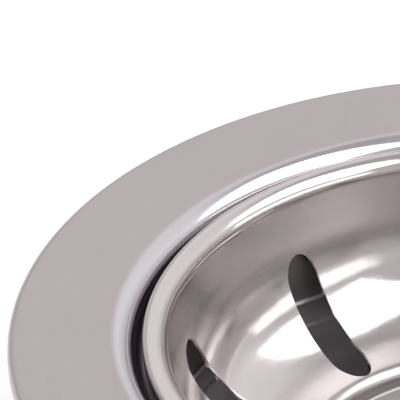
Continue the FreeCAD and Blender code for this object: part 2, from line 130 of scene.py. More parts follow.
def ridge(name, tooth, turns, pitch, steps=120):
    """Screws a tooth's section round the axis; each end runs out into the wall it grows from."""
    piece = draw(name, tooth)
    root = tooth[0][0]
    bpy.ops.object.mode_set(mode="OBJECT")
    helix = piece.modifiers.new("helix", "SCREW")
    helix.angle = math.tau
    helix.screw_offset = pitch * MM
    helix.iterations = turns
    helix.steps = helix.render_steps = steps
    bpy.ops.object.modifier_apply(modifier="helix")
    bpy.ops.object.mode_set(mode="EDIT")
    for rise in (0, turns * pitch):
        end = [Vector((c[0], 0, c[1] + rise)) * MM for c in tooth]
        pick(piece, lambda co: min((co - p).length for p in end) < 2 * WELD)
        centre = sum(end, Vector()) / len(end)
        bpy.ops.mesh.merge(type="CENTER")
        bpy.ops.transform.translate(value=(root * MM - centre.x, 0, 0))
    return smooth(piece, 50)


def join(pieces):
    """Joins loose bits of one piece into the first of them."""
    bpy.ops.object.select_all(action="DESELECT")
    for piece in pieces:
        piece.select_set(True)
    bpy.context.view_layer.objects.active = pieces[0]
    bpy.ops.object.join()
    return pieces[0]


def ring_marks():
    """Fine marks that run round the drain's axis, as brushing and turning leave them."""
    group = bpy.data.node_groups.new("ring_marks", "ShaderNodeTree")
    face = group.interface
    face.new_socket("Fineness", in_out="INPUT", socket_type="NodeSocketFloat").default_value = 4000.0
    face.new_socket("Spread", in_out="INPUT", socket_type="NodeSocketFloat").default_value = 3.0
    face.new_socket("Marks", in_out="OUTPUT", socket_type="NodeSocketFloat")
    face.new_socket("Radius", in_out="OUTPUT", socket_type="NodeSocketFloat")
    face.new_socket("Height", in_out="OUTPUT", socket_type="NodeSocketFloat")
    n, link = group.nodes, group.links
    inlet, outlet = n.new("NodeGroupInput"), n.new("NodeGroupOutput")
    place = n.new("ShaderNodeTexCoord")
    split = n.new("ShaderNodeSeparateXYZ")
    link.new(place.outputs["Object"], split.inputs[0])
    flat = n.new("ShaderNodeCombineXYZ")
    link.new(split.outputs["X"], flat.inputs["X"])
    link.new(split.outputs["Y"], flat.inputs["Y"])
    length = n.new("ShaderNodeVectorMath")
    length.operation = "LENGTH"
    link.new(flat.outputs[0], length.inputs[0])
    heading = n.new("ShaderNodeVectorMath")
    heading.operation = "NORMALIZE"
    link.new(flat.outputs[0], heading.inputs[0])
    spread = n.new("ShaderNodeVectorMath")
    spread.operation = "SCALE"
    link.new(heading.outputs[0], spread.inputs[0])
    link.new(inlet.outputs["Spread"], spread.inputs["Scale"])
    outward = n.new("ShaderNodeMath")
    outward.operation = "ADD"
    link.new(length.outputs["Value"], outward.inputs[0])
    link.new(split.outputs["Z"], outward.inputs[1])
    rows = n.new("ShaderNodeMath")
    rows.operation = "MULTIPLY"
    link.new(outward.outputs[0], rows.inputs[0])
    link.new(inlet.outputs["Fineness"], rows.inputs[1])
    lift = n.new("ShaderNodeCombineXYZ")
    link.new(rows.outputs[0], lift.inputs["Z"])
    spot = n.new("ShaderNodeVectorMath")
    link.new(spread.outputs[0], spot.inputs[0])
    link.new(lift.outputs[0], spot.inputs[1])
    streak = n.new("ShaderNodeTexNoise")
    streak.inputs["Scale"].default_value = 1.0
    streak.inputs["Detail"].default_value = 3.0
    streak.inputs["Roughness"].default_value = 0.62
    link.new(spot.outputs[0], streak.inputs["Vector"])
    link.new(streak.outputs["Fac"], outlet.inputs["Marks"])
    link.new(length.outputs["Value"], outlet.inputs["Radius"])
    link.new(split.outputs["Z"], outlet.inputs["Height"])
    return group


def handling():
    """Slow uneven patches and thin scratches from handling."""
    group = bpy.data.node_groups.new("handling", "ShaderNodeTree")
    face = group.interface
    face.new_socket("Patch Size", in_out="INPUT", socket_type="NodeSocketFloat").default_value = 60.0
    face.new_socket("Patches", in_out="OUTPUT", socket_type="NodeSocketFloat")
    face.new_socket("Scratches", in_out="OUTPUT", socket_type="NodeSocketFloat")
    face.new_socket("Specks", in_out="OUTPUT", socket_type="NodeSocketFloat")
    n, link = group.nodes, group.links
    inlet, outlet = n.new("NodeGroupInput"), n.new("NodeGroupOutput")
    place = n.new("ShaderNodeTexCoord")
    slow = n.new("ShaderNodeTexNoise")
    slow.inputs["Detail"].default_value = 4.0
    slow.inputs["Distortion"].default_value = 0.6
    link.new(place.outputs["Object"], slow.inputs["Vector"])
    link.new(inlet.outputs["Patch Size"], slow.inputs["Scale"])
    turn = n.new("ShaderNodeMapping")
    turn.inputs["Rotation"].default_value = (0.3, 0.5, 0.9)
    turn.inputs["Scale"].default_value = (900, 26, 60)
    link.new(place.outputs["Object"], turn.inputs["Vector"])
    thin = n.new("ShaderNodeTexNoise")
    thin.inputs["Scale"].default_value = 1.0
    thin.inputs["Detail"].default_value = 1.0
    link.new(turn.outputs[0], thin.inputs["Vector"])
    sharp = n.new("ShaderNodeValToRGB")
    sharp.color_ramp.elements[0].position = 0.70
    sharp.color_ramp.elements[1].position = 0.76
    link.new(thin.outputs["Fac"], sharp.inputs["Fac"])
    speck = n.new("ShaderNodeTexNoise")
    speck.inputs["Scale"].default_value = 2600.0
    speck.inputs["Detail"].default_value = 2.0
    link.new(place.outputs["Object"], speck.inputs["Vector"])
    link.new(slow.outputs["Fac"], outlet.inputs["Patches"])
    link.new(sharp.outputs["Color"], outlet.inputs["Scratches"])
    link.new(speck.outputs["Fac"], outlet.inputs["Specks"])
    return group


RING_MARKS = ring_marks()
HANDLING = handling()


def new_finish(name, metallic=1.0):
    """A material with its own Principled shader; returns its tools."""
    finish = bpy.data.materials.new(name)
    finish.use_nodes = True
    shader = finish.node_tree.nodes["Principled BSDF"]
    shader.inputs["Metallic"].default_value = metallic
    return finish, shader, finish.node_tree.nodes, finish.node_tree.links


def placed(nodes, group, **values):
    """Puts a shared group into a material with its own values."""
    node = nodes.new("ShaderNodeGroup")
    node.node_tree = group
    for socket, value in values.items():
        node.inputs[socket.replace("_", " ")].default_value = value
    return node


def between(nodes, links, source, low, high, at=(0.0, 1.0)):
    """Maps a value that varies over the surface to the span low..high."""
    span = nodes.new("ShaderNodeMapRange")
    span.interpolation_type = "SMOOTHSTEP"
    span.inputs["From Min"].default_value, span.inputs["From Max"].default_value = at
    span.inputs["To Min"].default_value, span.inputs["To Max"].default_value = low, high
    links.new(source, span.inputs["Value"])
    return span.outputs["Result"]


def tinted(nodes, links, mask, first, second):
    """Mixes two colours by a mask."""
    mix = nodes.new("ShaderNodeMix")
    mix.data_type = "RGBA"
    mix.inputs["A"].default_value = (*first, 1)
    mix.inputs["B"].default_value = (*second, 1)
    links.new(mask, mix.inputs["Factor"])
    return mix.outputs["Result"]


def blended(nodes, links, mask, first, second):
    """Mixes two colours that vary over the surface."""
    mix = nodes.new("ShaderNodeMix")
    mix.data_type = "RGBA"
    links.new(mask, mix.inputs["Factor"])
    links.new(first, mix.inputs["A"])
    links.new(second, mix.inputs["B"])
    return mix.outputs["Result"]


def sum_of(nodes, links, first, second, operation="ADD"):
    """Puts two values through a maths operation, which is a sum unless another is named."""
    node = nodes.new("ShaderNodeMath")
    node.operation = operation
    for socket, value in zip(node.inputs, (first, second)):
        if isinstance(value, (int, float)):
            socket.default_value = value
        else:
            links.new(value, socket)
    return node.outputs[0]


def scuffed(nodes, links, rough, wear, depth):
    """Adds the scratches of a handling group to a roughness."""
    return sum_of(nodes, links, rough, sum_of(nodes, links, wear.outputs["Scratches"], depth, "MULTIPLY"))


def raised(nodes, links, shader, height, depth):
    """Feeds a height into the shader's normal as a bump of that depth in metres."""
    bump = nodes.new("ShaderNodeBump")
    bump.inputs["Strength"].default_value = 1.0
    bump.inputs["Distance"].default_value = depth
    links.new(height, bump.inputs["Height"])
    links.new(bump.outputs["Normal"], shader.inputs["Normal"])


def body_finish():
    """Satin brushed flange, polished lip, dull groove in painted shade, drawn barrel with painted shade
    above, painted light below and a painted highlight on the inner beads' crests.
    """
    lip_edge, barrel_skin, bead_tip = (0.0440, 0.0450), (0.0398, 0.0401), (0.03935, 0.03950)
    lip_foot, ledge_foot = (-0.0011, -0.0002), (-0.0045, -0.0030)
    barrel_shade_span, bead_foot, floor_skin = (-0.0235, -0.0150), (-0.0246, -0.0240), (-0.0290, -0.0288)
    finish, shader, n, link = new_finish("satin_body_steel")
    marks = placed(n, RING_MARKS, Fineness=5200.0, Spread=5.0)
    wear = placed(n, HANDLING, Patch_Size=45.0)
    radius, height = marks.outputs["Radius"], marks.outputs["Height"]
    satin = between(n, link, radius, 0.0, 1.0, lip_edge)
    polish = between(n, link, height, 0.0, 1.0, lip_foot)
    groove = between(n, link, height, 0.0, 1.0, ledge_foot)
    crest = sum_of(
        n, link, between(n, link, radius, 1.0, 0.0, bead_tip),
        between(n, link, height, 0.0, 1.0, bead_foot), "MULTIPLY",
    )
    tone = tinted(n, link, wear.outputs["Patches"], (0.600, 0.550, 0.556), (0.640, 0.590, 0.596))
    shiny = tinted(n, link, wear.outputs["Patches"], (0.74, 0.72, 0.75), (0.79, 0.77, 0.80))
    # painted shade: the groove between the lip and the basket's rim is coloured dark for the shade that falls
    # there
    dark = tinted(n, link, wear.outputs["Patches"], (0.30, 0.26, 0.29), (0.38, 0.33, 0.36))
    # painted shade: the upper inside of the barrel, under the bowl, is coloured dark
    painted_barrel_shade = tinted(n, link, wear.outputs["Patches"], (0.16, 0.145, 0.145), (0.22, 0.20, 0.20))
    # painted light: the lower inside of the barrel is coloured light in place of light that barely reaches it
    painted_barrel_light = tinted(n, link, wear.outputs["Patches"], (0.74, 0.71, 0.73), (0.84, 0.81, 0.83))
    # the barrel's inside runs from painted shade at the top to painted light at the bottom
    plain = blended(n, link, between(n, link, height, 1.0, 0.0, barrel_shade_span), painted_barrel_shade, painted_barrel_light)
    # painted highlight: the crests of the inner beads are coloured pale as if light caught them
    wear_and_highlight = tinted(n, link, wear.outputs["Patches"], (0.90, 0.88, 0.88), (0.96, 0.94, 0.94))
    outside = sum_of(
        n, link, between(n, link, radius, 0.0, 1.0, barrel_skin),
        between(n, link, height, 1.0, 0.0, floor_skin), "MAXIMUM",
    )
    barrel = blended(n, link, outside, blended(n, link, crest, plain, wear_and_highlight), tone)
    inner = blended(n, link, groove, barrel, dark)
    edge = blended(n, link, polish, inner, shiny)
    link.new(blended(n, link, satin, edge, tone), shader.inputs["Base Color"])
    bare = sum_of(n, link, groove, outside, "MAXIMUM")
    link.new(between(n, link, bare, 0.35, 1.0), shader.inputs["Metallic"])
    rough_in = between(n, link, polish, 0.40, 0.11)
    rough_out = between(n, link, marks.outputs["Marks"], 0.34, 0.42, NOISE_SPAN)
    rough = n.new("ShaderNodeMix")
    link.new(satin, rough.inputs["Factor"])
    link.new(rough_in, rough.inputs["A"])
    link.new(rough_out, rough.inputs["B"])
    link.new(scuffed(n, link, rough.outputs["Result"], wear, 0.06), shader.inputs["Roughness"])
    raised(n, link, shader, marks.outputs["Marks"], 0.000002)
    return finish


BODY_FINISH = body_finish()
drain_body = turned("strainer_body_shell", [
    (57.15, 0.0, 0.25), (57.15, 2.25, 1.3, 10), (42.0, 1.10, 2.8, 20), (42.0, -2.35, 0.8),
    (39.6, -2.35, 0.8), (39.6, -28.45, 5.0, 14), (17.6, -28.45, 1.5, 8), (17.6, -37.75, 0.25),
    (18.5, -37.75, 0.25), (18.5, -29.35, 0.6), (40.3, -29.35, 5.9, 14), (40.3, -6.0, 0.3),
    (40.5, -5.6, 0.3), (40.5, -3.25, 0.5), (42.9, -3.25, 1.7), (42.9, 0.60, 1.5),
    (56.25, 1.317, 0.4), (56.25, 0.0, 0.25),
], steps=320)
outer_thread = ridge("barrel_thread", [
    (40.0, -22.0), (40.3, -21.75), (40.7, -21.1), (40.7, -20.62), (40.3, -19.97), (40.0, -19.72),
], turns=4, pitch=4.0)
inner_thread = ridge("barrel_beads", [
    (39.8, -23.4), (39.55, -23.3), (39.2, -22.96), (39.2, -22.76), (39.55, -22.42), (39.8, -22.32),
], turns=2, pitch=4.0)
join([drain_body, outer_thread, inner_thread])
drain_body.data.materials.clear()
drain_body.data.materials.append(BODY_FINISH)
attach(drain_body, "drain")
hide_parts("strainer_body")


# The flange seal is a ring of closed-cell foam rubber, die-cut from sheet and stuck under the
# flange. It is what the sink's deck presses on.
def foam_finish():
    """Dark foam rubber with its small cells showing."""
    finish, shader, n, link = new_finish("foam_rubber", 0.0)
    wear = placed(n, HANDLING, Patch_Size=120.0)
    place = n.new("ShaderNodeTexCoord")
    cells = n.new("ShaderNodeTexVoronoi")
    cells.inputs["Scale"].default_value = 2200.0
    link.new(place.outputs["Object"], cells.inputs["Vector"])
    colour = tinted(n, link, cells.outputs["Distance"], (0.035, 0.035, 0.037), (0.085, 0.085, 0.088))
    link.new(colour, shader.inputs["Base Color"])
    link.new(between(n, link, wear.outputs["Patches"], 0.78, 0.95), shader.inputs["Roughness"])
    raised(n, link, shader, cells.outputs["Distance"], 0.00008)
    return finish


flange_seal = turned("flange_seal_ring", [
    (44.6, 0.0, 0.25), (55.65, 0.0, 0.35), (55.65, 1.288, 0.35), (44.6, 0.805, 0.25),
], steps=160)
flange_seal.data.materials.append(foam_finish())
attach(flange_seal, "drain")
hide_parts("flange_seal")


# The outlet spud is turned from brass bar and brazed under the body's floor. A coarse pipe
# thread runs down its outside for the union nut, and its socket takes the tailpiece.
def brass_finish():
    """Turned brass with tool marks and a slight tarnish."""
    finish, shader, n, link = new_finish("turned_brass")
    marks = placed(n, RING_MARKS, Fineness=3600.0, Spread=2.0)
    wear = placed(n, HANDLING, Patch_Size=70.0)
    colour = tinted(n, link, wear.outputs["Patches"], (0.50, 0.34, 0.13), (0.70, 0.53, 0.25))
    link.new(colour, shader.inputs["Base Color"])
    rough = between(n, link, marks.outputs["Marks"], 0.22, 0.36, NOISE_SPAN)
    link.new(scuffed(n, link, rough, wear, 0.10), shader.inputs["Roughness"])
    raised(n, link, shader, marks.outputs["Marks"], 0.000006)
    return finish


spud = turned("outlet_spud_turning", [
    (20.1, -29.35, 0.2), (26.5, -29.35, 0.3), (26.5, -31.85, 0.5), (23.35, -31.85, 0.5),
    (23.35, -57.95, 0.2), (22.6, -58.75, 0.2), (19.3, -58.75, 0.3), (19.3, -44.75, 0.3),
    (16.6, -44.75, 0.4), (16.6, -39.35, 0.2), (18.6, -39.35, 0.1), (18.6, -30.85, 0.2),
], steps=160)
spud_thread = ridge("spud_thread", [
    (23.1, -57.85), (23.36, -57.65), (23.78, -57.05),
    (23.78, -56.75), (23.36, -56.15), (23.1, -55.95),
], turns=10, pitch=2.2)
join([spud, spud_thread])
spud.data.materials.append(brass_finish())
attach(spud, "drain")
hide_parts("outlet_spud")


# The guide is a spider punched from steel sheet and held between the throat and the spud's
# seat. Its keyhole lets the post's cross pin through one way round.
def plain_steel():
    """Plain rolled steel with fine grain and light scratches."""
    finish, shader, n, link = new_finish("plain_small_steel")
    marks = placed(n, RING_MARKS, Fineness=5000.0, Spread=6.0)
    wear = placed(n, HANDLING, Patch_Size=150.0)
    colour = tinted(n, link, wear.outputs["Patches"], (0.46, 0.45, 0.44), (0.62, 0.61, 0.60))
    link.new(colour, shader.inputs["Base Color"])
    rough = between(n, link, marks.outputs["Marks"], 0.24, 0.38, NOISE_SPAN)
    link.new(scuffed(n, link, rough, wear, 0.12), shader.inputs["Roughness"])
    raised(n, link, shader, marks.outputs["Marks"], 0.000003)
    return finish


PLAIN_STEEL = plain_steel()
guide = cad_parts["cross_guide"]
guide.data.materials.clear()
guide.data.materials.append(PLAIN_STEEL)


# The sink gasket is a moulded ring of black rubber that goes up against the underside of the
# deck. The thin line round its edge is where the two halves of the mould met.
def rubber_finish():
    """Moulded black rubber, matt, with pale dust in its grain."""
    finish, shader, n, link = new_finish("moulded_rubber", 0.0)
    marks = placed(n, RING_MARKS, Fineness=1500.0, Spread=8.0)
    wear = placed(n, HANDLING, Patch_Size=90.0)
    colour = tinted(n, link, wear.outputs["Patches"], (0.018, 0.018, 0.019), (0.050, 0.049, 0.048))
    link.new(colour, shader.inputs["Base Color"])
    link.new(between(n, link, wear.outputs["Specks"], 0.50, 0.72, NOISE_SPAN), shader.inputs["Roughness"])
    raised(n, link, shader, sum_of(n, link, marks.outputs["Marks"], wear.outputs["Specks"]), 0.00002)
    return finish


RUBBER = rubber_finish()
gasket = turned("sink_gasket_ring", [
    (43.4, -8.0, 0.25), (53.3, -8.0, 0.6), (53.3, -6.62, 0.1), (53.4, -6.5, 0.05),
    (53.3, -6.38, 0.1), (53.3, -5.0, 0.6), (43.4, -5.0, 0.25),
], steps=160, angle=60)
gasket.data.materials.append(RUBBER)
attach(gasket, "clamp_rings")
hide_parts("sink_gasket")


# The friction washer is die-cut from hard fibre board. It lets the nut slide round without
# twisting the rubber.
def fibre_finish():
    """Brown fibre board with felted strands in uneven patches."""
    finish, shader, n, link = new_finish("fibre_board", 0.0)
    wear = placed(n, HANDLING, Patch_Size=240.0)
    place = n.new("ShaderNodeTexCoord")
    stretch = n.new("ShaderNodeMapping")
    stretch.inputs["Rotation"].default_value = (0.0, 0.0, 0.6)
    stretch.inputs["Scale"].default_value = (2600, 420, 2600)
    link.new(place.outputs["Object"], stretch.inputs["Vector"])
    strand = n.new("ShaderNodeTexNoise")
    strand.inputs["Scale"].default_value = 1.0
    strand.inputs["Detail"].default_value = 4.0
    link.new(stretch.outputs[0], strand.inputs["Vector"])
    strands = sum_of(n, link, strand.outputs["Fac"], 0.7, "MULTIPLY")
    patches = sum_of(n, link, wear.outputs["Patches"], 0.3, "MULTIPLY")
    felt = between(n, link, sum_of(n, link, strands, patches), 0.0, 1.0, NOISE_SPAN)
    colour = tinted(n, link, felt, (0.30, 0.17, 0.085), (0.58, 0.41, 0.25))
    link.new(colour, shader.inputs["Base Color"])
    link.new(between(n, link, strand.outputs["Fac"], 0.72, 0.92), shader.inputs["Roughness"])
    raised(n, link, shader, strand.outputs["Fac"], 0.00004)
    return finish


friction_washer = turned("friction_washer_ring", [
    (43.4, -8.8, 0.1), (52.4, -8.8, 0.1), (52.4, -8.0, 0.1), (43.4, -8.0, 0.1),
], steps=160)
friction_washer.data.materials.append(fibre_finish())
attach(friction_washer, "clamp_rings")
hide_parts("friction_washer")


# The locknut is a die casting in zinc alloy: a pressing flange, a threaded hub and six lugs
# that a wrench catches. Edges are rounded by the mould, and the skin is slightly grainy.
def cast_finish():
    """As-cast zinc alloy: grey, grainy, brighter where it has been rubbed."""
    finish, shader, n, link = new_finish("cast_zinc")
    wear = placed(n, HANDLING, Patch_Size=80.0)
    marks = placed(n, RING_MARKS, Fineness=900.0, Spread=20.0)
    wear_and_highlight = between(n, link, marks.outputs["Radius"], 0.0, 1.0, (0.0478, 0.0500))
    base = tinted(n, link, wear.outputs["Patches"], (0.30, 0.30, 0.31), (0.46, 0.46, 0.47))
    worn = n.new("ShaderNodeMix")
    worn.data_type = "RGBA"
    link.new(sum_of(n, link, wear_and_highlight, wear.outputs["Patches"], "MULTIPLY"), worn.inputs["Factor"])
    link.new(base, worn.inputs["A"])
    worn.inputs["B"].default_value = (0.66, 0.66, 0.66, 1)
    link.new(worn.outputs["Result"], shader.inputs["Base Color"])
    link.new(between(n, link, wear.outputs["Specks"], 0.42, 0.62, NOISE_SPAN), shader.inputs["Roughness"])
    raised(n, link, shader, sum_of(n, link, wear.outputs["Specks"], marks.outputs["Marks"]), 0.00003)
    return finish


def lugs(name, count, root, tip, wide, slim, low, high, soft):
    """A ring of tapered lugs: one block is shaped and rounded, then copied round the axis."""
    bpy.ops.object.select_all(action="DESELECT")
    middle = ((root + tip) / 2 * MM, 0, (low + high) / 2 * MM)
    size = ((tip - root) * MM, wide * MM, (high - low) * MM)
    bpy.ops.mesh.primitive_cube_add(size=1, location=middle, scale=size)
    lug = bpy.context.object
    lug.name = lug.data.name = name
    bpy.ops.object.transform_apply(location=True, rotation=True, scale=True)
    bpy.ops.object.mode_set(mode="EDIT")
    pick(lug, lambda co: co.x > (tip - 0.1) * MM)
    bpy.ops.transform.resize(value=(1, slim / wide, 1), center_override=(tip * MM, 0, 0))
    bpy.ops.mesh.select_all(action="SELECT")
    bpy.ops.mesh.bevel(offset=soft * MM, segments=4, affect="EDGES")
    smooth(lug, 50)
    ring = [lug]
    for index in range(1, count):
        copy = lug.copy()
        copy.data = lug.data.copy()
        copy.data.transform(Matrix.Rotation(math.tau * index / count, 4, "Z"))
        bpy.context.collection.objects.link(copy)
        ring.append(copy)
    return join(ring)


locknut = turned("locknut_casting", [
    (40.8, -16.8, 0.5), (45.3, -16.8, 0.6), (45.3, -11.3, 0.8), (51.0, -11.3, 0.6),
    (51.0, -8.8, 0.5), (40.8, -8.8, 0.5),
])
join([locknut, lugs(
    "locknut_lugs", count=6, root=43.6, tip=50.0, wide=11.0, slim=7.3, low=-16.8, high=-10.4, soft=0.7,
)])
locknut.data.materials.append(cast_finish())
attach(locknut, "clamp_nut")
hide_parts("locknut")


# The slip washer is a plain ring moulded in nylon. The union nut presses it against the spud's
# end, and it seals the tailpiece there.
def nylon_finish():
    """Off-white nylon with a soft moulded skin."""
    finish, shader, n, link = new_finish("white_nylon", 0.0)
    wear = placed(n, HANDLING, Patch_Size=110.0)
    colour = tinted(n, link, wear.outputs["Patches"], (0.72, 0.71, 0.66), (0.82, 0.82, 0.78))
    link.new(colour, shader.inputs["Base Color"])
    link.new(between(n, link, wear.outputs["Specks"], 0.36, 0.52, NOISE_SPAN), shader.inputs["Roughness"])
    raised(n, link, shader, wear.outputs["Specks"], 0.00001)
    return finish


NYLON = nylon_finish()
slip_washer = turned("slip_washer_ring", [
    (19.5, -61.75, 0.4), (23.6, -61.75, 0.3), (23.6, -58.75, 0.3), (19.5, -58.75, 0.7),
], steps=128)
slip_washer.data.materials.append(NYLON)
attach(slip_washer, "tail_seal")
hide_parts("slip_washer")


# The union nut is a plated die casting: a sleeve with an inner lip that draws the washer up,
# and six rounded lugs to turn it by.
def plated_finish():
    """Bright plating over a casting, a little wavy, with fine scratches."""
    finish, shader, n, link = new_finish("plated_casting")
    wear = placed(n, HANDLING, Patch_Size=180.0)
    colour = tinted(n, link, wear.outputs["Patches"], (0.62, 0.62, 0.635), (0.74, 0.74, 0.75))
    link.new(colour, shader.inputs["Base Color"])
    rough = between(n, link, wear.outputs["Patches"], 0.11, 0.22)
    link.new(scuffed(n, link, rough, wear, 0.15), shader.inputs["Roughness"])
    raised(n, link, shader, wear.outputs["Patches"], 0.00008)
    return finish


union_nut = turned("coupling_nut_casting", [
    (19.8, -63.75, 0.4), (27.3, -63.75, 0.7), (27.3, -48.55, 0.3), (26.5, -47.75, 0.3),
    (24.1, -47.75, 0.5), (24.1, -61.75, 0.1), (19.8, -61.75, 0.4),
], steps=160)
join([union_nut, lugs(
    "coupling_nut_lugs", count=6, root=25.7, tip=30.5, wide=12.0, slim=6.0, low=-62.75, high=-50.75, soft=0.8,
)])
union_nut.data.materials.append(plated_finish())
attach(union_nut, "union")
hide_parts("coupling_nut")


# The basket is pressed from thin stainless sheet and polished inside. Its rim is rolled over
# into a bead, ten long slots are punched through the curved wall, and the floor is a step lower.
def polished_finish(name, light, dark, smooth_low, smooth_high, pressed=False):
    """Polished stainless; a pressing has a duller wall, a satin floor and a dull turned-under rim, whose dark
    colour is painted shade.
    """
    wall_dull, wall_foot, wall_top = 0.115, (-0.0150, -0.0090), (-0.0014, -0.0008)
    floor_step, shelf_step = (-0.0223, -0.0217), (-0.0203, -0.0194)
    rim_outside, rim_side = (0.0406, 0.0410), (0.0004, 0.0008)
    finish, shader, n, link = new_finish(name)
    marks = placed(n, RING_MARKS, Fineness=2600.0, Spread=2.5)
    wear = placed(n, HANDLING, Patch_Size=55.0)
    height, radius = marks.outputs["Height"], marks.outputs["Radius"]
    colour = tinted(n, link, wear.outputs["Patches"], dark, light)
    grain = between(n, link, marks.outputs["Marks"], smooth_low, smooth_high, NOISE_SPAN)
    rough = scuffed(n, link, grain, wear, 0.05)
    if pressed:
        wall = sum_of(
            n, link, between(n, link, height, 0.0, wall_dull, wall_foot),
            between(n, link, height, 1.0, 0.0, wall_top), "MULTIPLY",
        )
        floor = between(n, link, height, 1.0, 0.0, floor_step)
        shelf = between(n, link, height, 1.0, 0.0, shelf_step)
        under = sum_of(
            n, link, between(n, link, radius, 0.0, 1.0, rim_outside),
            between(n, link, height, 1.0, 0.0, rim_side), "MULTIPLY",
        )
        grey = tinted(n, link, wear.outputs["Patches"], (0.46, 0.43, 0.42), (0.54, 0.51, 0.50))
        # painted shade: the outside of the rolled rim, down in the body's groove, is coloured dark
        painted_rim_shade = tinted(n, link, wear.outputs["Patches"], (0.36, 0.32, 0.34), (0.45, 0.41, 0.43))
        worn = tinted(n, link, wear.outputs["Patches"], (0.54, 0.51, 0.51), (0.60, 0.57, 0.565))
        pale = tinted(n, link, wear.outputs["Patches"], (0.82, 0.78, 0.78), (0.88, 0.84, 0.84))
        colour = blended(n, link, between(n, link, wall, 0.0, 1.0, (0.0, wall_dull)), colour, pale)
        colour = blended(n, link, floor, blended(n, link, shelf, colour, worn), grey)
        colour = blended(n, link, under, colour, painted_rim_shade)
        rough = sum_of(n, link, rough, sum_of(n, link, wall, between(n, link, floor, 0.0, 0.16)))
        rough = sum_of(n, link, rough, between(n, link, under, 0.0, 0.20))
        rough = sum_of(n, link, rough, between(n, link, shelf, 0.0, 0.10))
    link.new(colour, shader.inputs["Base Color"])
    link.new(rough, shader.inputs["Roughness"])
    fine = sum_of(n, link, marks.outputs["Marks"], 0.006, "MULTIPLY")
    raised(n, link, shader, sum_of(n, link, wear.outputs["Patches"], fine), 0.00013)
    return finish


bowl = turned("basket_bowl_pressing", [
    (38.4, -1.5), (38.4, -20.45, 13.3, 36), (22.4, -20.45, 2.0, 14), (22.4, -23.05, 0.6, 6),
    (4.8, -23.05, 0.15), (4.8, -23.75, 0.15), (23.1, -23.75, 1.3, 8), (23.1, -21.15, 1.3, 8),
    (39.1, -21.15, 14.0, 30), (39.1, -2.1), (41.2, -2.1, 1.6, 12), (41.2, 1.1, 1.2, 14),
    (38.0, 1.1, 2.0, 18), (38.0, -1.25),
], steps=360)

SLANT = Vector((1, 0, 1)).normalized()
PUNCH = Vector((1, 0, -1)).normalized()
STROKE = 24
SLOTS = 10
FIRST_SLOT = 21.5
BURR = 0.16 * MM
ON_SHEET = 3e-6
punch = draw("slot_punch", [
    (18.996, -2.35, 4.003, 8), (20.81, -0.923, 1.9, 8), (20.81, 0.923, 1.9, 8),
    (18.996, 2.35, 4.003, 8), (4.324, 2.35, 4.003, 8), (2.51, 0.923, 1.9, 8),
    (2.51, -0.923, 1.9, 8), (4.324, -2.35, 4.003, 8),
], across=SLANT, along=Vector((0, 1, 0)))
bpy.ops.mesh.edge_face_add()
bpy.ops.transform.translate(value=PUNCH * STROKE * MM)
bpy.ops.mesh.extrude_region_move(TRANSFORM_OT_translate={"value": PUNCH * STROKE * MM})
bpy.ops.mesh.select_all(action="SELECT")
bpy.ops.mesh.normals_make_consistent(inside=False)
bpy.ops.object.mode_set(mode="OBJECT")
punches = []
for index in range(SLOTS):
    copy = punch.copy()
    copy.data = punch.data.copy()
    turn = math.radians(FIRST_SLOT + 360 / SLOTS * index)
    copy.data.transform(Matrix.Rotation(turn, 4, "Z"))
    bpy.context.collection.objects.link(copy)
    punches.append(copy)
bpy.data.objects.remove(punch)
punch_ring = join(punches)

whole = bowl.copy()
whole.data = bowl.data.copy()
bpy.context.collection.objects.link(whole)
bpy.ops.object.select_all(action="DESELECT")
bowl.select_set(True)
bpy.context.view_layer.objects.active = bowl
cut = bowl.modifiers.new("slots", "BOOLEAN")
cut.operation = "DIFFERENCE"
cut.solver = "EXACT"
cut.object = punch_ring
bpy.ops.object.modifier_apply(modifier="slots")
rolled = bowl.modifiers.new("burr", "BEVEL")
rolled.width = BURR
rolled.segments = 2
rolled.limit_method = "ANGLE"
rolled.angle_limit = math.radians(50)
bpy.ops.object.modifier_apply(modifier="burr")
bpy.ops.object.shade_smooth_by_angle(angle=math.radians(60))
skin = BVHTree.FromObject(whole, bpy.context.evaluated_depsgraph_get())
sheet = bowl.vertex_groups.new(name="sheet")
sheet.add([v.index for v in bowl.data.vertices if skin.find_nearest(v.co)[3] < ON_SHEET], 1.0, "ADD")
carry = bowl.modifiers.new("carry", "DATA_TRANSFER")
carry.object = whole
carry.use_loop_data = True
carry.data_types_loops = {"CUSTOM_NORMAL"}
carry.loop_mapping = "POLYINTERP_NEAREST"
carry.vertex_group = "sheet"
bpy.ops.object.modifier_apply(modifier="carry")
bpy.data.objects.remove(punch_ring)
bpy.data.objects.remove(whole)
bowl.data.materials.clear()
bowl.data.materials.append(polished_finish(
    "polished_bowl_steel", light=(0.785, 0.742, 0.738), dark=(0.740, 0.698, 0.694),
    smooth_low=0.10, smooth_high=0.15, pressed=True,
))
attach(bowl, "basket")
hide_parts("basket_bowl")


# The post is turned from bar: a collar that turns in the bowl's hole, a shank below for the
# stopper and its nut, and a tail that runs in the guide. Its thread is not drawn.
post = turned("lift_post_turning", [
    (0.0, -43.25), (3.0, -43.25, 0.6), (3.0, -24.55, 0.1), (4.5, -24.55, 0.2), (4.5, -22.25, 0.2),
    (3.0, -22.25, 0.1), (3.0, -12.25, 0.4), (0.0, -12.25),
], steps=64)
post.data.materials.append(PLAIN_STEEL)
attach(post, "stem")
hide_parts("lift_post")


# Two thin nylon washers, punched from strip, lie above and below the bowl's floor. The stem turns
# on them, held between the knob's foot and the stopper.
for name, low, high in (("upper_washer", -23.05, -22.25), ("lower_washer", -24.55, -23.75)):
    washer = turned(name + "_ring", [
        (4.55, low, 0.12), (8.0, low, 0.2), (8.0, high, 0.2), (4.55, high, 0.12),
    ], steps=96)
    washer.data.materials.append(NYLON)
    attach(washer, "stem")
    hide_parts(name)


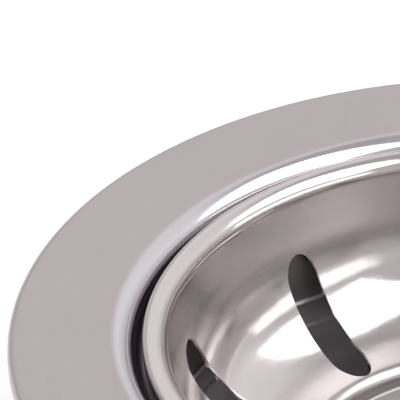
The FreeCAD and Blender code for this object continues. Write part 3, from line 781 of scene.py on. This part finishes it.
# The knob is turned from solid stainless and polished: a wide foot, a waisted neck and a flat
# head with a rounded edge, screwed onto the post.
knob = turned("lift_knob_turning", [
    (0.0, -12.15), (3.05, -12.15), (3.05, -22.25, 0.2), (7.0, -22.25, 0.3), (7.0, -21.25, 0.2),
    (4.2, -21.25, 2.6, 14), (4.2, -11.25, 2.9, 14), (9.0, -11.25, 1.0, 8), (9.0, -6.25, 2.5, 14),
    (3.6, -6.25, 0.4), (3.0, -6.65, 0.5), (0.0, -6.65),
], steps=128)
knob.data.materials.append(polished_finish(
    "polished_knob_steel", light=(0.76, 0.73, 0.72), dark=(0.69, 0.66, 0.65),
    smooth_low=0.10, smooth_high=0.17,
))
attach(knob, "stem")
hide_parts("lift_knob")


# The stopper is a rubber disc held between two pressed steel discs. The upper one is wide and
# keeps the rubber flat, and the lower one spreads the nut's pull.
cup = turned("stopper_cup_pressing", [
    (3.05, -25.35, 0.1), (19.0, -25.35, 0.2), (19.0, -24.55, 0.5), (3.05, -24.55, 0.1),
], steps=128)
plate = turned("stopper_plate_pressing", [
    (3.05, -29.25, 0.1), (12.0, -29.25, 0.5), (12.0, -28.45, 0.2), (3.05, -28.45, 0.1),
], steps=128)
rubber = turned("stopper_seal_disc", [
    (3.05, -28.45, 0.1), (23.4, -28.45, 1.0), (23.4, -27.05, 0.1), (23.3, -26.9, 0.1),
    (23.4, -26.75, 0.1), (23.4, -25.35, 1.0), (20.6, -25.35, 0.2), (20.3, -25.55, 0.2),
    (20.0, -25.35, 0.2), (3.05, -25.35, 0.1),
], steps=160)
for piece, node, finish, slot in (
    (cup, "stopper_cup", PLAIN_STEEL, "small_steel"),
    (plate, "stopper_plate", PLAIN_STEEL, "small_steel"),
    (rubber, "stopper_seal", RUBBER, "black_rubber"),
):
    piece.data.materials.append(finish)
    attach(piece, "stem")
    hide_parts(node)


# The split washer, the hexagon nut and the cross pin are plain bought-in steel hardware that
# hold the stopper on the post and catch in the guide.
for node in ("lock_washer", "post_nut", "catch_pin"):
    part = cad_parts[node]
    part.data.materials.clear()
    part.data.materials.append(PLAIN_STEEL)


# The studio floor is a wide pale sheet just under the union nut. It keeps the soft shadow, and it
# is clear from below, so that the underside can be seen.
FLOOR_HEIGHT = -0.06385
FLOOR_GLOW = 0.35

bpy.ops.object.select_all(action="DESELECT")
bpy.ops.mesh.primitive_plane_add(size=12, location=(0, 0, FLOOR_HEIGHT))
floor = bpy.context.object
floor.name = "studio_floor"
finish, shader, n, link = new_finish("pale_floor", 0.0)
grain = n.new("ShaderNodeTexNoise")
grain.inputs["Scale"].default_value = 30.0
place = n.new("ShaderNodeTexCoord")
link.new(place.outputs["Object"], grain.inputs["Vector"])
colour = tinted(n, link, grain.outputs["Fac"], (0.86, 0.86, 0.86), (0.88, 0.88, 0.88))
link.new(colour, shader.inputs["Base Color"])
shader.inputs["Roughness"].default_value = 0.9
shader.inputs["Specular IOR Level"].default_value = 0.1
path = n.new("ShaderNodeLightPath")
seen = sum_of(n, link, path.outputs["Is Camera Ray"], path.outputs["Is Glossy Ray"], "MAXIMUM")
seen = sum_of(n, link, seen, path.outputs["Is Transmission Ray"], "MAXIMUM")
glow = n.new("ShaderNodeEmission")
link.new(sum_of(n, link, seen, FLOOR_GLOW, "MULTIPLY"), glow.inputs["Strength"])
both = n.new("ShaderNodeAddShader")
link.new(shader.outputs[0], both.inputs[0])
link.new(glow.outputs[0], both.inputs[1])
face = n.new("ShaderNodeNewGeometry")
clear = n.new("ShaderNodeBsdfTransparent")
one_sided = n.new("ShaderNodeMixShader")
link.new(face.outputs["Backfacing"], one_sided.inputs["Fac"])
link.new(both.outputs[0], one_sided.inputs[1])
link.new(clear.outputs[0], one_sided.inputs[2])
link.new(one_sided.outputs[0], n["Material Output"].inputs["Surface"])
floor.data.materials.append(finish)


# The surround is a plain grey room, darker overhead and low behind, that polished metal mirrors.
# The camera sees it as white.
studio = bpy.data.worlds.new("studio")
bpy.context.scene.world = studio
studio.use_nodes = True
n, link = studio.node_tree.nodes, studio.node_tree.links
around = n.new("ShaderNodeTexCoord")
split = n.new("ShaderNodeSeparateXYZ")
link.new(around.outputs["Generated"], split.inputs[0])


ROOM_TINT = (1.0, 0.97, 0.98)


def brightness(stops):
    """A ramp of faintly warm greys over the height of the view."""
    ramp = n.new("ShaderNodeValToRGB")
    ramp.color_ramp.interpolation = "EASE"
    steps = ramp.color_ramp.elements
    while len(steps) < len(stops):
        steps.new(0.5)
    for step, (height, level) in zip(steps, stops):
        step.position = height
        step.color = (*(level * part for part in ROOM_TINT), 1)
    link.new(split.outputs["Z"], ramp.inputs["Fac"])
    return ramp.outputs["Color"]


behind = brightness([
    (0.0, 0.28), (0.15, 0.46), (0.30, 0.70), (0.50, 0.86), (0.72, 0.80), (0.88, 0.46), (1.0, 0.46),
])
before = brightness([(0.0, 0.58), (0.5, 0.56), (1.0, 0.46)])
shade = n.new("ShaderNodeMix")
shade.data_type = "RGBA"
link.new(between(n, link, split.outputs["Y"], 0.0, 1.0, (-0.1, 0.4)), shade.inputs["Factor"])
link.new(before, shade.inputs["A"])
link.new(behind, shade.inputs["B"])
path = n.new("ShaderNodeLightPath")
back = n.new("ShaderNodeMix")
back.data_type = "RGBA"
link.new(path.outputs["Is Camera Ray"], back.inputs["Factor"])
link.new(shade.outputs["Result"], back.inputs["A"])
back.inputs["B"].default_value = (1, 1, 1, 1)
link.new(back.outputs["Result"], n["Background"].inputs["Color"])
n["Background"].inputs["Strength"].default_value = 1.0


# Two softboxes light the part: a large one overhead to the right, and a low dim one beside it
# that brightens the rounds of lip and rim. The camera doesn't see them.
def softbox(name, place, wide, deep, power):
    """A soft rectangular lamp pointed at the drain."""
    lamp = bpy.data.lights.new(name, "AREA")
    lamp.shape = "RECTANGLE"
    lamp.size, lamp.size_y = wide, deep
    lamp.energy = power
    holder = bpy.data.objects.new(name, lamp)
    holder.location = place
    holder.rotation_euler = (-Vector(place)).to_track_quat("-Z", "Y").to_euler()
    holder.visible_camera = False
    bpy.context.collection.objects.link(holder)


softbox("overhead_softbox", (0.585, -0.105, 0.813), wide=1.01, deep=0.716, power=3.86)
softbox("side_softbox", (0.91, -0.32, 0.28), wide=1.06, deep=0.29, power=0.95)


# The camera looks down at the bowl from the photograph's place, through a long lens.
# Its frame holds about a quarter of the drain.
camera_data = bpy.data.cameras.new("camera")
camera_data.lens = 263.551
camera_data.sensor_width = 36.0
camera_data.sensor_fit = "HORIZONTAL"
camera_data.clip_start = 0.01
camera_data.clip_end = 50.0
camera = bpy.data.objects.new("camera", camera_data)
bpy.context.collection.objects.link(camera)
camera.matrix_world = Matrix((
    (0.99522, 0.01170, 0.09695, 0.0),
    (0.07714, 0.51462, -0.85394, -0.29317),
    (-0.05988, 0.85734, 0.51126, 0.192684),
    (0, 0, 0, 1),
))
bpy.context.scene.camera = camera
bpy.context.scene.view_settings.view_transform = "Standard"
